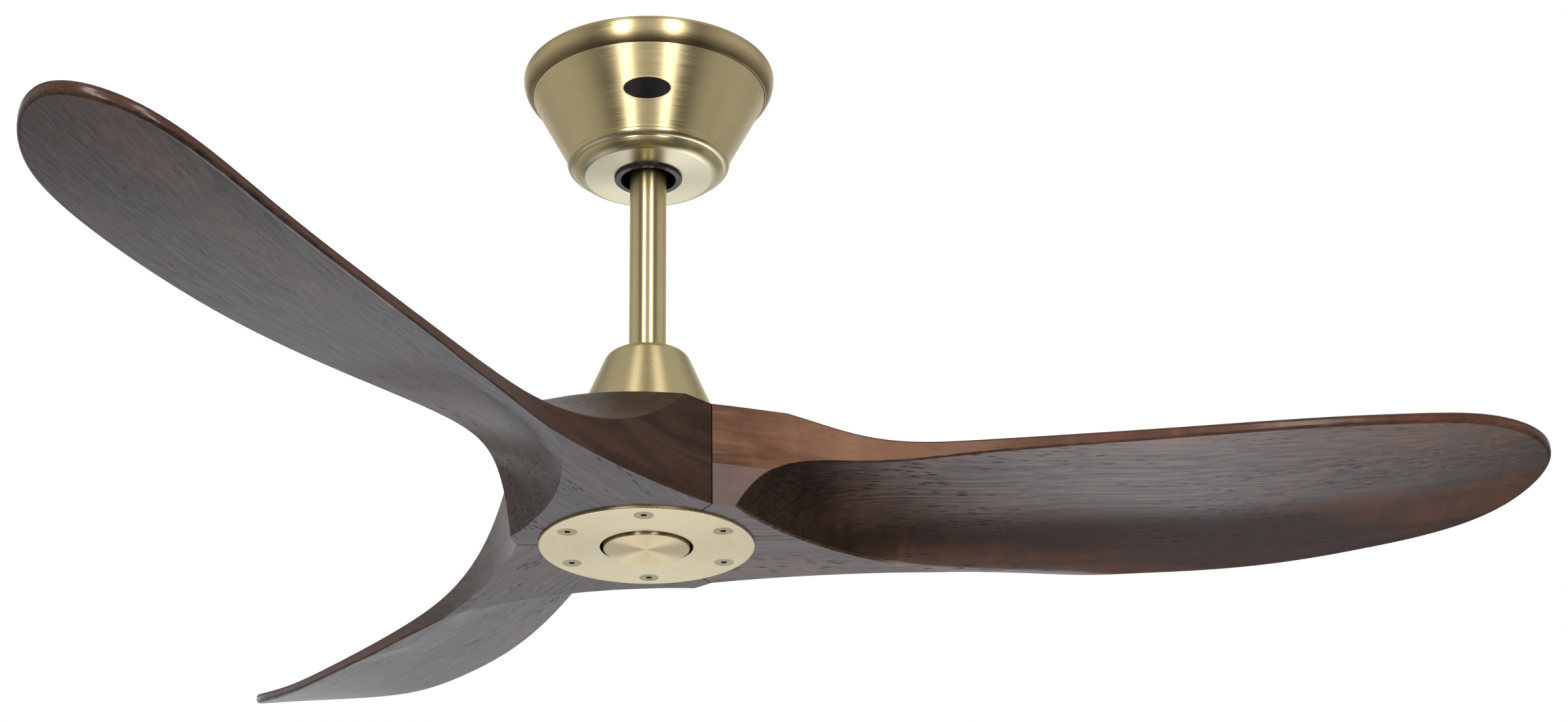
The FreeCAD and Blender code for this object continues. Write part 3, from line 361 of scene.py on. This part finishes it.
class Walnut(Look):
    """Dark stained walnut for one blade, its grain along the blade: growth bands that the carving cuts
    through, fibre streaks, pores as short dashes, curl near the hub and a satin lacquer."""

    def __init__(self, index):
        super().__init__(f"walnut_{index + 1}")
        self.is_first = index == 0
        self.face_tone, self.wall_tone, self.wall_dull = WOOD_LIGHT_AND_SHADE[index]
        self.lay_grain(index)
        self.find_places()
        self.shade(Base_Color=self.colour(), Roughness=self.satin(), IOR=1.5, Specular_IOR_Level=0.13,
                   Coat_Weight=self.lacquer(), Coat_Roughness=0.19, Coat_IOR=1.5, Normal=self.relief())

    def grain(self, pace, **settings):
        """A noise in the bent grain, at its own pace along each axis."""
        return self.noise(self.stretched(self.bent, pace), **settings)

    def darkened(self, colour, tone):
        return self.blend(1.0, colour, tint(tone, tone, tone), mode="MULTIPLY")

    def lay_grain(self, index):
        """The patterns in the wood, with the blade turned to lie along x."""
        self.turned = self.add("Mapping", {"Vector": self.place,
                                           "Rotation": (0, 0, math.radians(-120 * index)),
                                           "Location": (0, 0, LOG_SHIFT * index)}).outputs[0]
        self.drift = self.noise(self.stretched(self.turned, DRIFT), detail=2.0)
        sway = self.stretched(self.join(0.0, self.drift, self.drift), GRAIN_BEND)
        self.bent = self.add("VectorMath", {0: self.turned, 1: sway}, operation="ADD").outputs[0]
        self.bands = self.grain(BANDS, roughness=0.5)
        self.streaks = self.grain(STREAKS, detail=5.0, roughness=0.68)
        self.figure = self.grain(FIGURE, detail=5.0, roughness=0.50, distortion=0.5)
        self.fibres = self.grain(FIBRES, detail=2.0)
        self.curl = self.grain(CURL, detail=2.0, distortion=0.6)
        self.specks = self.add("TexVoronoi", {"Vector": self.stretched(self.bent, SPECKS), "Scale": 1.0,
                                              "Randomness": 1.0}).outputs["Distance"]
        self.crowds = self.grain(SPECK_CROWDS, detail=2.0)

    def find_places(self):
        """Where on the blade a point lies, each from nought to one."""
        facing = self.facing()
        self.along, self.across, _ = self.split(self.turned)
        self.height = self.split(self.place)[2]
        self.side = self.limits(self.math("ABSOLUTE", facing), 0.40, 0.14)
        self.top = self.limits(facing, 0.0, 0.3, 0.0, 0.8)
        self.outward = self.limits(self.along, RIM_START, RIM_FULL)
        pores = self.times(self.limits(self.specks, 0.34, 0.16), self.limits(self.crowds, 0.47, 0.60))
        self.pores = self.times(pores, self.limits(self.outward, 0.0, 1.0, 1.0, 0.45),
                                self.limits(self.side, 0.0, 1.0, 1.0, 0.3))
        inner = self.math("SUBTRACT", self.times(self.along, math.sin(SECTOR_HALF)),
                          self.times(self.math("ABSOLUTE", self.across), math.cos(SECTOR_HALF)))
        self.seam = self.limits(inner, SEAM_DARK, SEAM_DARK * 0.3)
        if self.is_first:
            carved = self.limits(self.height, WOOD_FOOT + 0.001, WOOD_FOOT + 0.002)
            edge = self.total(self.across, self.times(self.math("SUBTRACT", self.drift, 0.5), 0.05))
            self.hollow = self.times(self.limits(edge, HOLLOW_EDGE_OUT, HOLLOW_EDGE_IN), carved)
            self.hollow_start = self.times(self.limits(self.along, HOLLOW_LAST, HOLLOW_FIRST), carved)

    def face_colour(self):
        """The broad faces; blade 1 also has a dark, flamed hollow, with painted shade where it starts by
        the hub.
        """
        colour = self.blend(self.limits(self.bands, 0.33, 0.68), BAND_DARK, BAND_LIGHT)
        colour = self.blend(self.limits(self.streaks, 0.36, 0.70, 0.0, 0.75), colour, STREAK_LIGHT)
        # The blade's face lightness here is painted light and shade.
        colour = self.darkened(colour, self.face_tone)
        if self.is_first:
            flame = self.blend(self.limits(self.bands, 0.40, 0.60), FLAME_DARK, FLAME_LIGHT)
            share = self.times(self.hollow, self.limits(self.streaks, 0.35, 0.65, 0.55, 0.95))
            colour = self.blend(share, colour, flame)
            # Painted shade where the hollow starts, by the hub.
            colour = self.blend(self.times(self.hollow_start, 0.7), colour, HOLLOW_START_SHADE)
        return colour

    def wall_colour(self):
        """The hub's side walls, and outwards the browner rims; blade 1 has a pale strip at its foot."""
        colour = self.blend(self.limits(self.figure, 0.33, 0.67), FIGURE_DARK, FIGURE_LIGHT)
        colour = self.blend(self.limits(self.streaks, 0.3, 0.7, 0.0, 0.30), colour, WALL_STREAK)
        # The blade's wall lightness here is painted light and shade.
        colour = self.darkened(colour, self.wall_tone)
        colour = self.blend(self.times(self.outward, 0.85), colour, RIM_BROWN)
        if self.is_first:
            strip = self.limits(self.height, STRIP_TOP + 0.0004, STRIP_TOP)
            colour = self.blend(self.times(strip, 0.7), colour, PALE_STRIP)
        return colour

    def colour(self):
        colour = self.blend(self.times(self.side, 0.85), self.face_colour(), self.wall_colour())
        # The curl's gold takes the same painted light and shade as the blade's walls.
        gold = tint(*(part * self.wall_tone for part in CURL_GOLD))
        share = self.times(self.limits(self.curl, 0.52, 0.75, 0.0, 0.35), self.side)
        colour = self.blend(share, colour, gold)
        # Upward faces darkened: painted shade.
        colour = self.blend(self.times(self.top, 0.6), colour, TOP_PAINTED_SHADE)
        shimmer = self.limits(self.curl, 0.3, 0.7, 0.78, 1.25)
        calmer = self.times(self.math("SUBTRACT", 1.03, shimmer), self.times(self.side, 0.75))
        shimmer = self.total(shimmer, calmer)
        colour = self.blend(1.0, colour, self.join(shimmer, shimmer, shimmer), mode="MULTIPLY")
        colour = self.blend(self.times(self.pores, 0.85), colour, PORE_DARK)
        return self.blend(self.seam, colour, SEAM_BLACK)

    def relief(self):
        """Fine fibres, with the pores pressed into them."""
        fibres = self.bump(self.fibres, 0.00003, strength=0.5)
        return self.bump(self.pores, -0.00022, strength=0.9, below=fibres)

    def satin(self):
        """The roughness under the lacquer."""
        return self.total(self.limits(self.streaks, 0.3, 0.7, 0.40, 0.47),
                          self.limits(self.curl, 0.3, 0.7, -0.03, 0.03), self.times(self.pores, 0.2))

    def lacquer(self):
        """How much lacquer lies on the wood: little in pores and seams and on tops, and less on side
        walls and in blade 1's hollow."""
        coat = self.total(self.limits(self.streaks, 0.32, 0.68, 0.57, 0.86), self.times(self.pores, -0.8))
        dull_wall = self.times(self.side, self.limits(self.outward, 0.0, 1.0, self.wall_dull, 0.0))
        coat = self.times(coat, self.rest_of(dull_wall))
        coat = self.math("MULTIPLY", coat, self.rest_of(self.top), clamp=True)
        coat = self.times(coat, self.rest_of(self.seam))
        if self.is_first:
            faded = self.limits(self.along, FADE_START, FADE_END, 0.0, 0.50)
            dull = self.math("MAXIMUM", self.hollow_start, faded)
            dull = self.math("MAXIMUM", self.times(self.hollow, 0.98), dull)
            coat = self.math("MULTIPLY", coat, self.rest_of(dull), clamp=True)
        return coat


# ------------------------------------------------------------------ plastics and electrical pieces

def moulded(name, light, dark, roughness, grain=900.0, depth=0.00002, shine=0.5):
    """Moulded plastic, rubber or foam: uneven colour, a fine texture and slightly varied gloss."""
    look = Look(name)
    texture = look.noise(look.place, detail=3.0, scale=grain)
    patches = look.noise(look.place, detail=2.0, scale=40.0)
    colour = look.blend(look.limits(patches, 0.3, 0.7), dark, light)
    uneven = look.limits(texture, 0.3, 0.7, roughness - 0.06, roughness + 0.08)
    look.shade(Base_Color=colour, Roughness=uneven, Specular_IOR_Level=shine,
               Normal=look.bump(texture, depth))
    return look.material


def layered(name, light, dark, pitch, metallic, roughness):
    """Stacked sheets or wound wire: bright and dark lines spaced along the axis by the pitch."""
    look = Look(name)
    height = look.split(look.place)[2]
    wave = look.math("SINE", look.times(height, 2 * math.pi / pitch))
    lines = look.limits(wave, -0.6, 0.6)
    patches = look.noise(look.place, detail=2.0, scale=120.0)
    colour = look.blend(look.times(lines, patches), dark, light)
    look.shade(Base_Color=colour, Metallic=metallic,
               Roughness=look.limits(patches, 0.3, 0.7, roughness - 0.05, roughness + 0.1),
               Normal=look.bump(lines, pitch * 0.25))
    return look.material


def circuit_board():
    """Green solder mask over a faint grid of tracks."""
    look = Look("circuit_board")
    tracks = look.add("TexBrick", {"Vector": look.place, "Scale": 260.0, "Mortar Size": 0.03,
                                   "Color1": tint(0.012, 0.075, 0.030), "Color2": tint(0.010, 0.060, 0.026),
                                   "Mortar": tint(0.030, 0.130, 0.055)})
    speckle = look.noise(look.place, scale=1500.0)
    look.shade(Base_Color=tracks.outputs["Color"], Roughness=look.limits(speckle, 0.3, 0.7, 0.32, 0.48),
               Normal=look.bump(tracks.outputs["Fac"], 0.00004))
    return look.material


# The makers of the materials, and what each material is made with.
RECIPES = {
    "brushed_brass": (brass, {}),
    "canopy_brass": (brass, dict(roughness=0.33, varied=painted_pale_flat_faces)),
    "rod_brass": (brass, dict(roughness=0.29, depth=0.000003, uneven=0.2)),
    # The trim ring's darker base and its darker lower edge are painted shade.
    "trim_brass": (brass, dict(roughness=0.32, varied=painted_shade_lower_edge,
                               base=(tint(0.72, 0.575, 0.32), tint(0.62, 0.485, 0.25)))),
    "matt_brass": (brass, dict(roughness=0.36, stretch=0.35, fineness=1500.0, depth=0.000006,
                               base=(tint(0.62, 0.545, 0.35), tint(0.58, 0.505, 0.315)))),
    "spun_brass": (brass, dict(roughness=0.37, stretch=0.95, fineness=1500.0,
                               base=(tint(0.64, 0.54, 0.325), tint(0.56, 0.465, 0.265)))),
    "polished_brass": (brass, dict(roughness=0.34, stretch=0.0, fineness=800.0, depth=0.000004,
                                   base=(tint(0.66, 0.56, 0.33), tint(0.58, 0.49, 0.28)))),
    "screw_brass": (brass, dict(roughness=0.27, stretch=0.0, fineness=900.0, depth=0.000006,
                                base=(tint(0.40, 0.345, 0.205), tint(0.27, 0.23, 0.135)))),
    "enamel": (moulded, dict(light=tint(0.008, 0.007, 0.006), dark=tint(0.004, 0.004, 0.004),
                             roughness=0.30, grain=300.0, depth=0.000004, shine=0.14)),
    "dark_plastic": (moulded, dict(light=tint(0.018, 0.017, 0.022), dark=tint(0.010, 0.010, 0.013),
                                   roughness=0.30)),
    "grey_plastic": (moulded, dict(light=tint(0.20, 0.21, 0.22), dark=tint(0.15, 0.155, 0.165),
                                   roughness=0.42)),
    "white_plastic": (moulded, dict(light=tint(0.78, 0.77, 0.73), dark=tint(0.70, 0.69, 0.64),
                                    roughness=0.38)),
    "rubber": (moulded, dict(light=tint(0.022, 0.022, 0.022), dark=tint(0.013, 0.013, 0.013),
                             roughness=0.68, grain=1600.0, depth=0.00004)),
    "foam": (moulded, dict(light=tint(0.05, 0.05, 0.052), dark=tint(0.03, 0.03, 0.032),
                           roughness=0.9, grain=2400.0, depth=0.0002)),
    "capacitor_sleeve": (moulded, dict(light=tint(0.016, 0.018, 0.05), dark=tint(0.010, 0.011, 0.033),
                                       roughness=0.25)),
    "zinc": (bare_metal, dict(light=tint(0.62, 0.64, 0.66), dark=tint(0.46, 0.48, 0.50),
                              roughness=0.36, scale=320.0)),
    "cast_zinc": (bare_metal, dict(light=tint(0.50, 0.51, 0.52), dark=tint(0.38, 0.39, 0.40),
                                   roughness=0.46, scale=900.0, depth=0.00004)),
    "steel": (bare_metal, dict(light=tint(0.60, 0.60, 0.60), dark=tint(0.48, 0.48, 0.49),
                               roughness=0.26, scale=1100.0, depth=0.000006)),
    "motor_aluminium": (bare_metal, dict(light=tint(0.70, 0.71, 0.72), dark=tint(0.58, 0.59, 0.60),
                                         roughness=0.38, scale=800.0, depth=0.00003)),
    "magnet": (bare_metal, dict(light=tint(0.55, 0.54, 0.52), dark=tint(0.42, 0.41, 0.40),
                                roughness=0.24, scale=600.0)),
    "lamination": (layered, dict(light=tint(0.36, 0.36, 0.37), dark=tint(0.10, 0.10, 0.11),
                                 pitch=0.0005, metallic=1.0, roughness=0.42)),
    "copper": (layered, dict(light=tint(0.72, 0.27, 0.12), dark=tint(0.30, 0.09, 0.04),
                             pitch=0.0009, metallic=1.0, roughness=0.26)),
}

MATERIALS = {name: maker(name, **settings) for name, (maker, settings) in RECIPES.items()}
MATERIALS["circuit_board"] = circuit_board()

# Pieces whose brass differs from the slot they share.
OWN_LOOKS = {"canopy": "canopy_brass", "trim_ring": "trim_brass", "downrod": "rod_brass"}


def dress_nodes():
    """Gives every CAD node the material of its slot; each blade has its own piece of walnut."""
    for part in frame["record"]["subparts"]:
        node, slot = NODES[part["node"]], part["material_slot"]
        material = Walnut(int(part["node"][-1]) - 1).material if slot == "walnut" else MATERIALS[slot]
        material = MATERIALS.get(OWN_LOOKS.get(part["node"]), material)
        for holder in node.material_slots:
            holder.material = material


def add_floor():
    """Plain pale floor well below the fan."""
    look = Look("floor")
    mottle = look.noise(look.place, detail=3.0, scale=3.0)
    look.shade(Base_Color=look.blend(mottle, tint(0.88, 0.88, 0.87), tint(0.93, 0.93, 0.92)), Roughness=0.8)
    half = FLOOR_SIZE / 2
    mesh = bpy.data.meshes.new("floor")
    mesh.from_pydata([(-half, -half, FLOOR_HEIGHT), (half, -half, FLOOR_HEIGHT),
                      (half, half, FLOOR_HEIGHT), (-half, half, FLOOR_HEIGHT)], [], [(0, 1, 2, 3)])
    mesh.materials.append(look.material)
    floor = link_object("floor", mesh)
    floor.visible_glossy = False


def add_ceiling_lid():
    """An unseen disc just above the canopy that keeps light out of it, as the ceiling does."""
    mesh = bpy.data.meshes.new("lid")
    turns = [2 * math.pi * step / LID_SIDES for step in range(LID_SIDES)]
    rim = [(LID_RADIUS * math.cos(turn), LID_RADIUS * math.sin(turn), LID_HEIGHT) for turn in turns]
    mesh.from_pydata(rim, [], [tuple(range(LID_SIDES))])
    look = Look("lid")
    look.shade(Base_Color=tint(0.02, 0.02, 0.02), Roughness=0.9)
    mesh.materials.append(look.material)
    lid = link_object("lid", mesh)
    lid.visible_camera = False


add_camera()
add_lights()
add_world()
add_floor()
add_ceiling_lid()
dress_nodes()
bpy.context.scene.view_settings.view_transform = "Standard"
